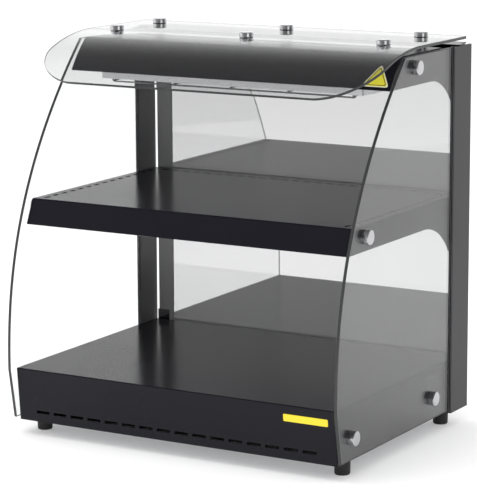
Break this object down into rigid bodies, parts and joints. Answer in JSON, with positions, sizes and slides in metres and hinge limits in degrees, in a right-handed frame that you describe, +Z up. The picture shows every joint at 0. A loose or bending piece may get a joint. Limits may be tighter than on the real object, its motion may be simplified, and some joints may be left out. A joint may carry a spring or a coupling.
{
  "type": "hot food display case",
  "caption": "Heated countertop food display with a warming deck and shelf, curved glass sides and canopy, lamp hood and rear mirror door.",
  "frame": {"origin": "on the counter, under the centre of the whole case", "axes": "+Z up, +Y to the operator's side with the mirror door, -Y to the customer, +X to the customer's right as seen from the front"},
  "size_m": [0.531, 0.4052, 0.555],
  "materials": {
    "black_coat": "satin powder coat",
    "post_coat": "satin powder coat",
    "galvanised": "galvanised",
    "clear_glass": "polished, toughened",
    "mirror_glass": "polished",
    "polished_metal": "polished",
    "satin_steel": "satin",
    "plated_steel": "zinc plated",
    "foot_rubber": "matte",
    "heater_silicone": "ribbed",
    "glass_wool": "fibrous",
    "black_plastic": "fine texture",
    "red_plastic": "gloss",
    "amber_lens": "translucent gloss",
    "thermostat_case": "plated",
    "ivory_plastic": "smooth",
    "dial_aluminium": "brushed",
    "reflector_aluminium": "bright rolled",
    "quartz_tube": "polished",
    "lamp_ceramic": "unglazed",
    "guard_wire": "polished",
    "badge_yellow": "satin",
    "label_yellow": "satin"
  },
  "bodies": {
    "cabinet": {"base_cover": "black_coat", "base_pan": "galvanised", "rear_panel": "black_coat", "deck_heating_mat": "heater_silicone", "deck_insulation": "glass_wool", "terminal_block": "ivory_plastic", "thermostat_body": "thermostat_case", "dial_plate": "dial_aluminium", "power_switch_housing": "black_plastic", "lamp_switch_housing": "black_plastic", "indicator_lamp": "amber_lens", "cord_gland": "black_plastic", "gland_nut": "black_plastic", "foot_front_left": "foot_rubber", "foot_front_right": "foot_rubber", "foot_rear_left": "foot_rubber", "foot_rear_right": "foot_rubber", "foot_screws": "plated_steel", "post_left": "post_coat", "post_right": "post_coat", "post_end_caps": "black_plastic", "post_spacers": "black_plastic", "post_screws": "plated_steel", "shelf_top": "black_coat", "shelf_bottom": "black_coat", "shelf_bracket_left": "black_coat", "shelf_bracket_right": "black_coat", "shelf_heating_mat": "heater_silicone", "shelf_insulation": "glass_wool", "hood_shell": "black_coat", "hood_bottom": "galvanised", "hood_bracket_left": "black_coat", "hood_bracket_right": "black_coat", "lamp_reflector": "reflector_aluminium", "lamp_tube": "quartz_tube", "lamp_holders": "lamp_ceramic", "lamp_guard": "guard_wire", "top_crossbar": "black_coat", "canopy": "clear_glass", "canopy_spacers": "satin_steel", "canopy_caps": "polished_metal", "side_pane_left": "clear_glass", "side_pane_right": "clear_glass", "side_spacers": "satin_steel", "side_caps": "polished_metal", "stud_nuts": "plated_steel", "pivot_bush_top": "ivory_plastic", "pivot_bracket_bottom": "satin_steel", "catch_magnet": "black_plastic", "front_badge": "badge_yellow", "corner_label": "label_yellow"},
    "door": {"door_mirror": "mirror_glass", "door_handle": "polished_metal", "pivot_clamp_top": "polished_metal", "pivot_clamp_bottom": "polished_metal", "catch_plate": "satin_steel"},
    "thermostat_dial": {"thermostat_shaft": "plated_steel", "thermostat_knob": "black_plastic"},
    "power_switch": {"power_rocker": "red_plastic"},
    "lamp_switch": {"lamp_rocker": "black_plastic"}
  },
  "joints": [
    {"name": "door_hinge", "type": "hinge", "parent": "cabinet", "child": "door", "pos_m": [-0.243, 0.18105, 0.088], "axis": [0, 0, 1], "range_deg": [0, 105]},
    {"name": "thermostat_turn", "type": "hinge", "parent": "cabinet", "child": "thermostat_dial", "pos_m": [0.15, 0.17165, 0.056], "axis": [0, -1, 0], "range_deg": [0, 270]},
    {"name": "power_rock", "type": "hinge", "parent": "cabinet", "child": "power_switch", "pos_m": [0.092, 0.16965, 0.056], "axis": [-1, 0, 0], "range_deg": [0, 14]},
    {"name": "lamp_rock", "type": "hinge", "parent": "cabinet", "child": "lamp_switch", "pos_m": [0.06, 0.16965, 0.056], "axis": [-1, 0, 0], "range_deg": [0, 14]}
  ]
}
